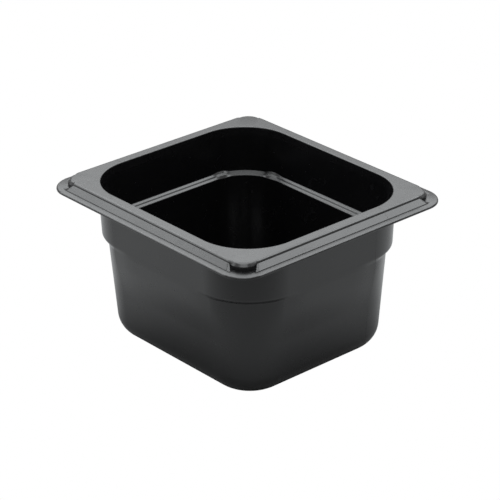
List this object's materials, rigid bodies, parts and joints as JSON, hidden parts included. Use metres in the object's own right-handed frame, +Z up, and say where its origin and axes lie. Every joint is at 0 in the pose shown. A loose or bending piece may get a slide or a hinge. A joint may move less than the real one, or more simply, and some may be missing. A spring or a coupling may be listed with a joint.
{
  "type": "food pan",
  "caption": "Small rectangular food pan in black plastic, with a wide stepped rim, rounded corners, an inner stacking ledge and a tapered body.",
  "frame": {"origin": "centre of the flat base, on the surface the pan stands on", "axes": "+X along the longer side, +Y to the back, +Z up out of the mouth"},
  "size_m": [0.176, 0.162, 0.1008],
  "materials": {
    "pan_plastic": "satin moulded polycarbonate"
  },
  "bodies": {
    "root": {"floor_panel": "pan_plastic", "lower_wall_front": "pan_plastic", "lower_wall_back": "pan_plastic", "lower_wall_left": "pan_plastic", "lower_wall_right": "pan_plastic", "lower_corner_back_right": "pan_plastic", "lower_corner_back_left": "pan_plastic", "lower_corner_front_left": "pan_plastic", "lower_corner_front_right": "pan_plastic", "collar_wall_front": "pan_plastic", "collar_wall_back": "pan_plastic", "collar_wall_left": "pan_plastic", "collar_wall_right": "pan_plastic", "collar_corner_back_right": "pan_plastic", "collar_corner_back_left": "pan_plastic", "collar_corner_front_left": "pan_plastic", "collar_corner_front_right": "pan_plastic", "rim_side_front": "pan_plastic", "rim_side_back": "pan_plastic", "rim_side_left": "pan_plastic", "rim_side_right": "pan_plastic", "rim_corner_back_right": "pan_plastic", "rim_corner_back_left": "pan_plastic", "rim_corner_front_left": "pan_plastic", "rim_corner_front_right": "pan_plastic"}
  },
  "joints": []
}
